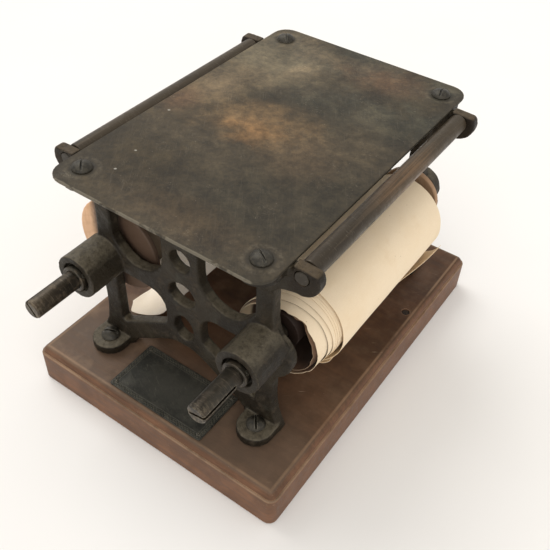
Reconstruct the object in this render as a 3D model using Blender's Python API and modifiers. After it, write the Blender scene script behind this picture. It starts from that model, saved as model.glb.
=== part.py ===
"""Tabletop press: a wooden base carries two cast iron end frames, a flat iron bed,
two guide rods along the bed's long sides and two winding shafts with paper rolls.

Metres, +Z up. X runs across the press, Y runs back along the rolls, and the origin
is the middle of the underside of the base board.
"""

import math

import bmesh
import bpy
from mathutils import Matrix, Vector

MM = 0.001

# ---- sizes in millimetres ---------------------------------------------------
BASE_X, BASE_Y = 201.0, 271.5
BASE_SIDE_TOP = 25.0          # top of the plain vertical side
BASE_TOP = 30.1               # flat top inside the moulded edge
BASE_INSET = 5.6              # width of the moulded edge
BASE_CORNER = 6.0

PLATE_X, PLATE_Y = 152.0, 236.0
PLATE_TOP = 178.4
PLATE_THICK = 2.2
PLATE_CORNER = 11.5
PLATE_SCREW = (62.5, 101.4)

FRAME_FACE = 94.5             # outer face of each end frame, from the middle
FRAME_THICK = 8.0
FRAME_BOTTOM = BASE_TOP + 0.3
FRAME_TOP = PLATE_TOP - PLATE_THICK - 0.3
WEB_BOTTOM, WEB_TOP = FRAME_BOTTOM + 0.35, FRAME_TOP - 0.45
POST_OUT = 67.0               # outer side of the posts
POST_IN = 56.0                # post side of the windows
COLUMN = 14.2                 # half width of the pierced middle column

AXIS_X, AXIS_Z = 62.0, 107.5  # winding shafts
SHAFT_R = 6.25
BORE_R = 6.5
BOSS_R = 15.0
BOSS_END = 121.0
COUNTERBORE_R = 10.2
COUNTERBORE_DEEP = 4.0
BULGE_R = 18.5
SHAFT_TIP = 156.0
SHAFT_TAIL = 106.0
SLOT_WIDE, SLOT_LONG = 2.0, 27.0

ROD_X, ROD_Z, ROD_R = 83.0, 171.9, 6.0
TENON_R = 4.3
EAR_R = 11.4
EAR_FACE = 95.4
EAR_THICK = 7.6

LUG_R = 12.6
LUG_THICK = 7.0
LUG_X, LUG_Y = 62.5, 101.4

CORE_R = 13.5
CORE_HALF = 80.0
DISC_R, DISC_THICK = 33.2, 3.4   # wooden cheeks of the left spool
ROLL_L_R = 29.0
ROLL_L_FRONT, ROLL_L_BACK = -79.4, 79.4
COIL_X, COIL_Z = 62.6, 97.0   # the loose coil hangs on its core
COIL_R = 31.4
COIL_IN = 24.4
COIL_BACK = -70.0             # along the coil's own axis, which points forward
SMALL_CHEEK_R = 21.5          # cheek at the back end of the right core

LABEL_X, LABEL_Y = 77.0, 41.0
LABEL_AT = (0.6, -108.6)


# ---- scene and materials ----------------------------------------------------
for old in list(bpy.data.objects):
    bpy.data.objects.remove(old, do_unlink=True)

scene = bpy.context.scene
scene.unit_settings.system = "METRIC"
scene.unit_settings.scale_length = 1.0
parts = bpy.data.collections.new("tabletop_press")
cutters = bpy.data.collections.new("cutters")
scene.collection.children.link(parts)
scene.collection.children.link(cutters)
cutters.hide_render = True


def material(name, colour, metallic, roughness):
    mat = bpy.data.materials.new(name)
    mat.use_nodes = True
    shader = mat.node_tree.nodes["Principled BSDF"]
    shader.inputs["Base Color"].default_value = (*colour, 1.0)
    shader.inputs["Metallic"].default_value = metallic
    shader.inputs["Roughness"].default_value = roughness
    mat.diffuse_color = (*colour, 1.0)
    return mat


IRON = (0.045, 0.045, 0.038)
LOOKS = {
    "wood_base": ((0.16, 0.085, 0.05), 0.0, 0.5),
    "iron": (IRON, 0.7, 0.5),
    "plate": ((0.085, 0.078, 0.06), 0.7, 0.45),
    "screw": ((0.07, 0.066, 0.052), 0.8, 0.45),
    "steel": ((0.13, 0.11, 0.085), 0.9, 0.35),
    "core": ((0.3, 0.17, 0.09), 0.0, 0.6),
    "paper": ((0.8, 0.68, 0.5), 0.0, 0.85),
    "label": ((0.03, 0.037, 0.035), 0.5, 0.5),
}


# ---- helpers ----------------------------------------------------------------
def add(name, mesh, look=None, to=None):
    obj = bpy.data.objects.new(name, mesh)
    (to or parts).objects.link(obj)
    if look:
        mesh.materials.clear()
        mesh.materials.append(material(name, *LOOKS[look]))
    return obj


def cutter(name, mesh):
    obj = add(name, mesh, to=cutters)
    obj.hide_render = True
    obj.display_type = "WIRE"
    return obj


def cylinder_mesh(name, radius, y0, y1, x=0.0, z=0.0, segments=32):
    """A cylinder along Y, from y0 to y1."""
    bm = bmesh.new()
    bmesh.ops.create_cone(bm, cap_ends=True, segments=segments, radius1=radius * MM,
                          radius2=radius * MM, depth=abs(y1 - y0) * MM)
    bm.transform(Matrix.Translation(Vector((x, (y0 + y1) / 2, z)) * MM)
                 @ Matrix.Rotation(math.radians(90), 4, "X"))
    bmesh.ops.recalc_face_normals(bm, faces=bm.faces)
    mesh = bpy.data.meshes.new(name)
    bm.to_mesh(mesh)
    bm.free()
    return mesh


def upright_mesh(name, radius, z0, z1, x, y, segments=24):
    """A cylinder along Z, from z0 to z1."""
    bm = bmesh.new()
    bmesh.ops.create_cone(bm, cap_ends=True, segments=segments, radius1=radius * MM,
                          radius2=radius * MM, depth=(z1 - z0) * MM)
    bm.transform(Matrix.Translation(Vector((x, y, (z0 + z1) / 2)) * MM))
    mesh = bpy.data.meshes.new(name)
    bm.to_mesh(mesh)
    bm.free()
    return mesh


def box_mesh(name, lo, hi):
    bm = bmesh.new()
    bmesh.ops.create_cube(bm, size=1.0)
    size = [b - a for a, b in zip(lo, hi)]
    mid = [(a + b) / 2 for a, b in zip(lo, hi)]
    bm.transform(Matrix.Translation(Vector(mid) * MM)
                 @ Matrix.Diagonal((size[0] * MM, size[1] * MM, size[2] * MM, 1.0)))
    mesh = bpy.data.meshes.new(name)
    bm.to_mesh(mesh)
    bm.free()
    return mesh


def boolean(obj, other, operation):
    mod = obj.modifiers.new(operation.lower(), "BOOLEAN")
    mod.operation = operation
    mod.solver = "EXACT"
    mod.object = other
    return mod


def apply_modifiers(obj):
    """Replaces the object's mesh by its evaluated one."""
    bpy.context.view_layer.update()
    graph = bpy.context.evaluated_depsgraph_get()
    mesh = bpy.data.meshes.new_from_object(obj.evaluated_get(graph))
    obj.modifiers.clear()
    obj.data = mesh


def fillet(points, steps=4):
    """Rounds a closed polygon given as (a, b, radius)."""
    out = []
    count = len(points)
    for i, (px, py, radius) in enumerate(points):
        here = Vector((px, py))
        if radius <= 0:
            out.append((px, py))
            continue
        before = (Vector(points[i - 1][:2]) - here).normalized()
        after = (Vector(points[(i + 1) % count][:2]) - here).normalized()
        half = before.angle(after) / 2
        reach = radius / math.tan(half)
        centre = here + (before + after).normalized() * (radius / math.sin(half))
        start = here + before * reach - centre
        end = here + after * reach - centre
        turn = start.angle_signed(end)
        for k in range(steps + 1):
            # angle_signed is clockwise positive
            out.append(tuple(centre + Matrix.Rotation(-turn * k / steps, 2) @ start))
    return out


def arc(cx, cy, radius, a0, a1, steps):
    return [(cx + radius * math.cos(math.radians(a0 + (a1 - a0) * k / steps)),
             cy + radius * math.sin(math.radians(a0 + (a1 - a0) * k / steps)))
            for k in range(steps + 1)]


def flat_mesh(name, outlines, thick, bevel=0.0, resolution=0):
    """A flat shape with holes, extruded both ways from its own plane, as a mesh."""
    curve = bpy.data.curves.new(name, "CURVE")
    curve.dimensions = "2D"
    curve.fill_mode = "BOTH"
    curve.extrude = (thick / 2 - bevel) * MM
    curve.bevel_depth = bevel * MM
    curve.bevel_resolution = resolution
    curve.offset = -bevel * MM
    for outline in outlines:
        spline = curve.splines.new("POLY")
        spline.points.add(len(outline) - 1)
        for point, (a, b) in zip(spline.points, outline):
            point.co = (a * MM, b * MM, 0.0, 1.0)
        spline.use_cyclic_u = True
    helper = bpy.data.objects.new(name, curve)
    scene.collection.objects.link(helper)
    bpy.context.view_layer.update()
    graph = bpy.context.evaluated_depsgraph_get()
    mesh = bpy.data.meshes.new_from_object(helper.evaluated_get(graph))
    bpy.data.objects.remove(helper, do_unlink=True)
    bm = bmesh.new()
    bm.from_mesh(mesh)
    bmesh.ops.remove_doubles(bm, verts=bm.verts, dist=0.000002)
    bmesh.ops.recalc_face_normals(bm, faces=bm.faces)
    bm.to_mesh(mesh)
    bm.free()
    return mesh


def stand(mesh, y):
    """Turns a flat shape up into the XZ plane, its middle at y."""
    mesh.transform(Matrix.Translation((0.0, y * MM, 0.0))
                   @ Matrix.Rotation(math.radians(90), 4, "X"))
    return mesh


def lift(mesh, z):
    mesh.transform(Matrix.Translation((0.0, 0.0, z * MM)))
    return mesh


def turned(name, profile, look, place, segments=32, along="Y"):
    """A turned piece: a profile of (radius, height) spun round with a Screw modifier.
    The profile runs down the outer side from the top."""
    mesh = bpy.data.meshes.new(name)
    mesh.from_pydata([(r * MM, 0.0, h * MM) for r, h in profile],
                     [(i, i + 1) for i in range(len(profile) - 1)], [])
    obj = add(name, mesh, look)
    screw = obj.modifiers.new("spin", "SCREW")
    screw.angle = math.radians(360)
    screw.steps = segments
    screw.render_steps = segments
    screw.use_merge_vertices = True
    screw.merge_threshold = 0.00001
    screw.use_smooth_shade = True
    screw.axis = "Z"
    obj.location = Vector(place) * MM
    if along == "Y":
        obj.rotation_euler = (math.radians(90), 0.0, 0.0)
    return obj


def loft(name, rings):
    """Skins a list of equal rings, closed at both ends."""
    count = len(rings[0])
    verts = [tuple(c * MM for c in p) for ring in rings for p in ring]
    faces = []
    for i in range(len(rings) - 1):
        for k in range(count):
            a, b = i * count + k, i * count + (k + 1) % count
            faces.append((a, b, b + count, a + count))
    faces.append(tuple(reversed(range(count))))
    faces.append(tuple(range((len(rings) - 1) * count, len(rings) * count)))
    mesh = bpy.data.meshes.new(name)
    mesh.from_pydata(verts, [], faces)
    bm = bmesh.new()
    bm.from_mesh(mesh)
    bmesh.ops.recalc_face_normals(bm, faces=bm.faces)
    bm.to_mesh(mesh)
    bm.free()
    return mesh


def rounded_rectangle(x, y, radius, steps=4):
    hx, hy = x / 2, y / 2
    return fillet([(hx, -hy, radius), (hx, hy, radius), (-hx, hy, radius),
                   (-hx, -hy, radius)], steps)


# ---- base board -------------------------------------------------------------
# The edge moulding is a bead, a small step and an ovolo up to the flat top.
EDGE = [(0.8, 0.0), (0.0, 0.8), (0.0, 24.0), (0.3, 24.8), (1.1, 25.2), (1.5, 25.0),
        (1.8, 26.4), (2.6, 28.0), (4.0, 29.4), (BASE_INSET, BASE_TOP)]


def base_ring(inset, z):
    radius = max(BASE_CORNER - inset, 0.8)
    return [(a, b, z) for a, b in
            rounded_rectangle(BASE_X - 2 * inset, BASE_Y - 2 * inset, radius)]


base = add("base_board", loft("base_board", [base_ring(d, z) for d, z in EDGE]),
           "wood_base")


# ---- end frames -------------------------------------------------------------
def mirrored(right_half):
    """Joins a right-hand half outline, bottom to top, with its mirror image."""
    return right_half + [(-a, b) for a, b in reversed(right_half)]


def frame_outline():
    """Posts with spread feet, an arch under the middle and a swelling at each shaft."""
    bz = 99.5                       # the swelling sits a little below the shaft
    right = []
    right += arc(0.0, 34.0, 28.5, 90, 58, 4)[1:]              # crown of the arch
    right += [(21.5, 54.6), (29.0, 49.0), (38.5, 43.0), (44.5, 38.5),
              (47.5, 34.5), (48.3, WEB_BOTTOM)]
    right += [(75.6, WEB_BOTTOM), (75.4, 33.5), (73.2, 38.5), (70.6, 45.0),
              (69.0, 54.0), (68.3, 66.0), (68.4, 76.0), (70.2, 82.2)]
    right += arc(AXIS_X, bz, BULGE_R, -56, 62, 7)
    right += [(68.2, 121.5), (67.2, 127.0), (66.8, 135.0), (POST_OUT - 0.4, 150.0),
              (POST_OUT - 0.2, WEB_TOP)]
    return mirrored(right)


def egg(cx, cz, wide, high, narrow=0.0, steps=14):
    """A rounded hole, narrower at the top when narrow is above 0."""
    out = []
    for k in range(steps):
        t = 2 * math.pi * k / steps
        s = math.sin(t)
        out.append((cx + wide / 2 * math.cos(t) * (1 - narrow * (s + 0.2)),
                    cz + high / 2 * s))
    return out


def window_low():
    return fillet([(POST_IN, 49.6, 2.5), (POST_IN, 99.6, 4.0), (COLUMN, 99.6, 12.0),
                   (COLUMN, 75.0, 5.0)], 4)


def window_high():
    pts = [(54.4, 127.0), (54.4, 158.0)]
    pts += arc(46.4, 158.0, 8.0, 0, 90, 3)[1:]
    pts += arc(COLUMN + 9.0, 157.6, 9.0, 90, 180, 4)
    pts += [(COLUMN, 131.0), (15.2, 125.0), (18.6, 119.5), (24.0, 115.0),
            (31.0, 112.4), (38.0, 112.2), (44.5, 115.0), (50.5, 120.5)]
    return pts


def frame_mesh(name, side):
    """side is -1 for the front frame and +1 for the back one."""
    holes = [egg(0.0, 136.0, 15.4, 16.0), egg(0.0, 108.6, 21.6, 18.0, 0.12),
             egg(0.0, 79.0, 16.0, 21.0, 0.14)]
    for window in (window_low(), window_high()):
        holes += [window, [(-a, b) for a, b in reversed(window)]]
    middle = side * (FRAME_FACE - FRAME_THICK / 2)
    body = cutter(name + "_web", stand(flat_mesh(name, [frame_outline()] + holes,
                                                 FRAME_THICK, 0.9), middle))
    obj = add(name, body.data.copy(), "iron")
    bpy.data.objects.remove(body, do_unlink=True)

    adds, cuts = [], []
    for s in (-1, 1):
        tag = name + ("_l" if s < 0 else "_r")
        # the arm that carries the guide rod
        arm = [(58.0, FRAME_TOP - 0.2), (58.0, 151.0), (66.2, 151.0), (67.6, 153.8),
               (70.2, 156.6), (74.0, 158.2)]
        arm += arc(ROD_X - 0.6, ROD_Z - 0.9, EAR_R, -98, 28, 7)
        arm += [(91.0, FRAME_TOP + 1.6), (77.4, FRAME_TOP + 1.9), (77.0, FRAME_TOP - 0.2)]
        arm = [(s * a, b) for a, b in arm]
        if s > 0:
            arm.reverse()
        adds.append(cutter(tag + "_arm", stand(
            flat_mesh(tag + "_arm", [arm], EAR_THICK, 0.8),
            side * (EAR_FACE - EAR_THICK / 2))))
        # the long bearing boss, with a raised rim round the shaft
        end = BOSS_END if side < 0 else 101.0
        adds.append(cutter(tag + "_boss", cylinder_mesh(
            tag + "_boss", BOSS_R, side * (FRAME_FACE - 3.0), side * end,
            s * AXIS_X, AXIS_Z, 32)))
        # the lugs: one on the base and one under the bed
        for z, kind in ((FRAME_BOTTOM, "foot"), (FRAME_TOP - 6.0, "bed")):
            thick = LUG_THICK if kind == "foot" else 6.0
            inner = FRAME_FACE - 3.5 if kind == "foot" else FRAME_FACE - 5.0
            tab = [(s * LUG_X + LUG_R, side * inner)]
            tab += [(s * LUG_X + LUG_R * math.cos(math.radians(a)),
                     side * (LUG_Y + LUG_R * math.sin(math.radians(a))))
                    for a in range(0, 181, 20)]
            tab += [(s * LUG_X - LUG_R, side * inner)]
            adds.append(cutter(tag + "_" + kind, lift(
                flat_mesh(tag + "_" + kind, [tab], thick, 0.7), z + thick / 2)))
            cuts.append(cutter(tag + "_" + kind + "_hole", upright_mesh(
                tag + "_hole", 3.0, z - 2.0, z + thick + 2.0, s * LUG_X,
                side * LUG_Y, 16)))
        cuts.append(cutter(tag + "_bore", cylinder_mesh(
            tag + "_bore", BORE_R, side * 80.0, side * 130.0, s * AXIS_X, AXIS_Z, 24)))
        if side < 0:
            cuts.append(cutter(tag + "_cbore", cylinder_mesh(
                tag + "_cbore", COUNTERBORE_R, side * (BOSS_END - COUNTERBORE_DEEP),
                side * 130.0, s * AXIS_X, AXIS_Z, 32)))
        cuts.append(cutter(tag + "_rod", cylinder_mesh(
            tag + "_rod", TENON_R + 0.25, side * 80.0, side * 100.0, s * ROD_X, ROD_Z, 24)))
    for other in adds:
        boolean(obj, other, "UNION")
    for other in cuts:
        boolean(obj, other, "DIFFERENCE")
    apply_modifiers(obj)
    for other in adds + cuts:
        bpy.data.objects.remove(other, do_unlink=True)
    return obj


front = frame_mesh("front_frame", -1)
back = frame_mesh("back_frame", 1)


# ---- screws -----------------------------------------------------------------
def screw_profile(head_r, head_h, shank_r, shank_l):
    """A round head over a plain shank, from the crown down. The head's seat is at 0."""
    points = [(0.0, head_h)]
    for a in (62, 35, 10):
        t = math.radians(a)
        points.append((head_r * math.cos(t), head_h * math.sin(t)))
    points += [(head_r, 0.0), (shank_r, 0.0), (shank_r, -shank_l),
               (0.0, -shank_l - shank_r)]
    return points


def slotted_screw(name, x, y, seat, head_r, head_h, shank_r, shank_l, turn):
    obj = turned(name, screw_profile(head_r, head_h, shank_r, shank_l), "screw",
                 (x, y, seat), 16, along="Z")
    slot = cutter(name + "_slot", box_mesh(name + "_slot",
                                           (-head_r - 2, -0.7, head_h * 0.42),
                                           (head_r + 2, 0.7, head_h + 2)))
    slot.location = Vector((x, y, seat)) * MM
    slot.rotation_euler = (0.0, 0.0, math.radians(turn))
    boolean(obj, slot, "DIFFERENCE")
    apply_modifiers(obj)
    bpy.data.objects.remove(slot, do_unlink=True)
    return obj


TURNS = {"front_left": 130.0, "front_right": 147.0, "back_left": 128.0,
         "back_right": 102.0}
FOOT_TURNS = {"front_left": 25.0, "front_right": 128.0, "back_left": 70.0,
              "back_right": 10.0}
holes = []
for sy, row in ((-1, "front"), (1, "back")):
    for sx, col in ((-1, "left"), (1, "right")):
        key = row + "_" + col
        slotted_screw("bed_screw_" + key, sx * PLATE_SCREW[0], sy * PLATE_SCREW[1],
                      PLATE_TOP + 0.3, 6.3, 3.6, 2.6, 7.0, TURNS[key])
        holes.append((sx * PLATE_SCREW[0], sy * PLATE_SCREW[1]))
        slotted_screw("foot_screw_" + key, sx * LUG_X, sy * LUG_Y,
                      FRAME_BOTTOM + LUG_THICK + 0.3, 6.4, 4.5, 2.6, 17.0,
                      FOOT_TURNS[key])

# ---- bed plate --------------------------------------------------------------
plate_holes = [[(x + 3.0 * math.cos(math.radians(a)), y + 3.0 * math.sin(math.radians(a)))
                for a in range(0, 360, 30)] for x, y in holes]
bed = add("bed_plate", lift(flat_mesh("bed_plate", [
    rounded_rectangle(PLATE_X, PLATE_Y, PLATE_CORNER, 6)] + plate_holes,
    PLATE_THICK, 0.4), PLATE_TOP - PLATE_THICK / 2), "plate")

# ---- holes in the base for the foot screws and the plug ---------------------
PLUG = (90.0, 50.0)
base_cuts = [cutter("base_hole_%d" % i, upright_mesh("base_hole", 3.0, 10.0, 40.0, x, y, 16))
             for i, (x, y) in enumerate([(sx * LUG_X, sy * LUG_Y)
                                         for sy in (-1, 1) for sx in (-1, 1)])]
base_cuts.append(cutter("plug_hole", upright_mesh("plug_hole", 3.2, 24.0, 40.0, *PLUG, 16)))

# ---- guide rods -------------------------------------------------------------
for s, side in ((-1, "left"), (1, "right")):
    half = EAR_FACE + 0.1
    shoulder = EAR_FACE - EAR_THICK - 0.4
    turned("guide_rod_" + side, [(0.0, half), (TENON_R - 0.4, half), (TENON_R, half - 0.4),
                                 (TENON_R, shoulder), (ROD_R - 0.5, shoulder),
                                 (ROD_R, shoulder - 0.5), (ROD_R, -shoulder + 0.5),
                                 (ROD_R - 0.5, -shoulder), (TENON_R, -shoulder),
                                 (TENON_R, -half + 0.4), (TENON_R - 0.4, -half),
                                 (0.0, -half)],
           "steel", (s * ROD_X, 0.0, ROD_Z), 28)

# ---- winding shafts, cores, collars -----------------------------------------
SLOT_TURN = {"left": 54.7, "right": -10.6}
for s, side in ((-1, "left"), (1, "right")):
    top, tail = SHAFT_TIP, -SHAFT_TAIL
    shaft = turned("winding_shaft_" + side,
                   [(0.0, top), (SHAFT_R - 1.0, top), (SHAFT_R, top - 0.9),
                    (SHAFT_R, tail + 0.8), (SHAFT_R - 0.8, tail), (0.0, tail)],
                   "steel", (s * AXIS_X, 0.0, AXIS_Z), 32)
    slot = cutter("slot_" + side, box_mesh("slot", (-10.0, -SHAFT_TIP - 2, -SLOT_WIDE / 2),
                                           (10.0, -SHAFT_TIP + SLOT_LONG, SLOT_WIDE / 2)))
    slot.location = Vector((s * AXIS_X, 0.0, AXIS_Z)) * MM
    slot.rotation_euler = (0.0, math.radians(SLOT_TURN[side]), 0.0)
    boolean(shaft, slot, "DIFFERENCE")
    apply_modifiers(shaft)
    bpy.data.objects.remove(slot, do_unlink=True)

    ring = BORE_R
    core = turned("roller_core_" + side,
                  [(ring, CORE_HALF), (CORE_R, CORE_HALF), (CORE_R, -CORE_HALF),
                   (ring, -CORE_HALF), (ring, CORE_HALF)],
                  "core", (s * AXIS_X, 0.0, AXIS_Z), 28)

    front_y = BOSS_END - COUNTERBORE_DEEP + 0.4
    for label, y0, y1 in (("front", front_y, front_y + 6.0), ("back", -103.9, -101.4)):
        collar = turned("shaft_collar_%s_%s" % (label, side),
                        [(ring, y1), (8.0, y1), (8.6, y1 - 0.6), (8.6, y0),
                         (ring, y0), (ring, y1)],
                        "steel", (s * AXIS_X, 0.0, AXIS_Z), 24)
        if label == "front":
            turn = math.radians(35.0)
            away = Vector((math.cos(turn), 0.0, math.sin(turn)))
            mid = Vector((s * AXIS_X, -(y0 + y1) / 2, AXIS_Z))
            hole = cutter("pin_hole_" + side, upright_mesh("pin_hole", 1.3, 0.0, 12.0,
                                                           0.0, 0.0, 12))
            hole.matrix_world = (Matrix.Translation(mid * MM)
                                 @ away.to_track_quat("Z", "Y").to_matrix().to_4x4())
            bpy.context.view_layer.update()
            boolean(collar, hole, "DIFFERENCE")
            apply_modifiers(collar)
            place = hole.matrix_world.copy()
            bpy.data.objects.remove(hole, do_unlink=True)
            pin = add("collar_pin_" + side, upright_mesh("collar_pin", 1.0, 6.7, 9.1,
                                                         0.0, 0.0, 12), "steel")
            pin.matrix_world = place

# ---- paper ------------------------------------------------------------------
# The left roll is wound tight between two thin wooden cheeks.
turned("paper_roll_left",
       [(CORE_R + 0.3, ROLL_L_BACK), (ROLL_L_R, ROLL_L_BACK), (ROLL_L_R, ROLL_L_FRONT),
        (CORE_R + 0.3, ROLL_L_FRONT), (CORE_R + 0.3, ROLL_L_BACK)],
       "paper", (-AXIS_X, 0.0, AXIS_Z), 40)
for label, radius, x, y0 in (
        ("left_front", DISC_R, -AXIS_X, CORE_HALF + 0.3),
        ("left_back", DISC_R, -AXIS_X, -CORE_HALF - 0.3 - DISC_THICK),
        ("right_back", SMALL_CHEEK_R, AXIS_X, -CORE_HALF - 0.3 - DISC_THICK)):
    y1 = y0 + DISC_THICK
    turned("spool_cheek_" + label,
           [(BORE_R, y1), (radius - 0.7, y1), (radius, y1 - 0.7), (radius, y0),
            (BORE_R, y0), (BORE_R, y1)],
           "core", (x, 0.0, AXIS_Z), 36)

# The right coil is loose. Its inner turns have slid out to the front, and its outer
# turn ends short of them.
turned("paper_roll_right",
       [(COIL_IN, 60.0), (25.8, 78.0), (27.4, 78.4), (29.2, 66.0), (29.9, 57.5),
        (COIL_R, 57.4), (COIL_R, COIL_BACK), (COIL_IN, COIL_BACK), (COIL_IN, 60.0)],
       "paper", (COIL_X, 0.0, COIL_Z), 40)

# The tail of the left roll's web hangs down and curls in under the roll.
SHEET = [(-32.2, 107.5), (-31.4, 97.0), (-30.0, 86.0), (-28.6, 76.5), (-28.6, 68.2),
         (-31.0, 61.4), (-35.5, 55.7), (-41.0, 50.9), (-47.5, 46.5), (-54.5, 42.4),
         (-61.2, 39.1), (-67.2, 36.9), (-72.6, 35.8)]


def strip(points, thick):
    """The outline of a thin strip along the points, thick across."""
    upper, lower = [], []
    for i, (x, z) in enumerate(points):
        ax, az = points[max(i - 1, 0)]
        bx, bz = points[min(i + 1, len(points) - 1)]
        run = Vector((bx - ax, bz - az)).normalized()
        upper.append((x - run.y * thick / 2, z + run.x * thick / 2))
        lower.append((x + run.y * thick / 2, z - run.x * thick / 2))
    return upper + lower[::-1]


add("loose_sheet", stand(flat_mesh("loose_sheet", [strip(SHEET, 0.8)], 154.0), -0.8),
    "paper")

# ---- label plate and its pins ------------------------------------------------
label = add("label_plate", lift(flat_mesh("label_plate", [
    rounded_rectangle(LABEL_X, LABEL_Y, 1.5, 2)], 0.9, 0.2), BASE_TOP + 0.3 + 0.45),
    "label")
label.location = Vector((*LABEL_AT, 0.0)) * MM
label_cuts = []
for i, (sx, sy) in enumerate(((-1, -1), (1, -1), (-1, 1), (1, 1))):
    x = LABEL_AT[0] + sx * (LABEL_X / 2 - 3.4)
    y = LABEL_AT[1] + sy * (LABEL_Y / 2 - 3.4)
    turned("label_pin_%d" % (i + 1),
           [(0.0, 1.0), (1.4, 0.0), (0.6, 0.0), (0.6, -3.5), (0.0, -4.0)],
           "screw", (x, y, BASE_TOP + 1.5), 10, along="Z")
    label_cuts.append(cutter("label_hole_%d" % i, upright_mesh("label_hole", 0.9, 28.0,
                                                               36.0, x, y, 12)))
    base_cuts.append(cutter("nail_hole_%d" % i, upright_mesh("nail_hole", 0.9, 26.5,
                                                             36.0, x, y, 12)))
for other in label_cuts:
    boolean(label, other, "DIFFERENCE")
apply_modifiers(label)
for other in base_cuts:
    boolean(base, other, "DIFFERENCE")
apply_modifiers(base)
for other in label_cuts + base_cuts:
    bpy.data.objects.remove(other, do_unlink=True)

turned("base_plug", [(0.0, 29.9), (2.9, 29.4), (2.9, 24.6), (0.0, 24.6)],
       "core", (*PLUG, 0.0), 12, along="Z")

for obj in parts.objects:
    obj.data.shade_smooth()
    obj.data.set_sharp_from_angle(angle=math.radians(32))
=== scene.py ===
# Looks of the tabletop roll-paper press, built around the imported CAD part.
import math

import bmesh
import bpy
import numpy as np
from mathutils import Matrix, Vector, noise


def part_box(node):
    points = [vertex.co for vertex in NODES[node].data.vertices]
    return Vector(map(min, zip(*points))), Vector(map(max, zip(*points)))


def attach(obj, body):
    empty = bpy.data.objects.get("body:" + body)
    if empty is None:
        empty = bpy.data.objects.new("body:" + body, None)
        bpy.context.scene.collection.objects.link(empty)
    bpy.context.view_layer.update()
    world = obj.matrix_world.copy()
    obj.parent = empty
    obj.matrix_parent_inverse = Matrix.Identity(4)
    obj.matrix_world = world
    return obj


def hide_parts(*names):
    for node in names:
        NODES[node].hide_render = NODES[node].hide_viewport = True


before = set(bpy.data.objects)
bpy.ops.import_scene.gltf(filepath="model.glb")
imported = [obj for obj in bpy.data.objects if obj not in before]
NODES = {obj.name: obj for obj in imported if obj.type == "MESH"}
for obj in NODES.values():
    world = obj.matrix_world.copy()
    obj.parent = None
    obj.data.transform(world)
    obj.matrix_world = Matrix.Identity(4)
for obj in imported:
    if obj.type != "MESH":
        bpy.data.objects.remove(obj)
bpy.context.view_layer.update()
MM = 0.001


# ---------------------------------------------------------------- camera
def make_camera():
    data = bpy.data.cameras.new("photo_camera")
    data.sensor_width = 36.0
    data.lens = 48.70
    data.clip_start, data.clip_end = 0.02, 20.0
    cam = bpy.data.objects.new("photo_camera", data)
    bpy.context.scene.collection.objects.link(cam)
    right = Vector((0.8165897, 0.57599277, 0.03759775))
    up = Vector((-0.420797, 0.54945033, 0.721827))
    back = Vector((0.39510904, -0.60525751, 0.69105151))
    m = Matrix((right, up, back)).transposed().to_4x4()
    m.translation = Vector((0.21796666, -0.3263059, 0.42928193))
    cam.matrix_world = m
    bpy.context.scene.camera = cam
    return cam


camera = make_camera()


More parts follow.
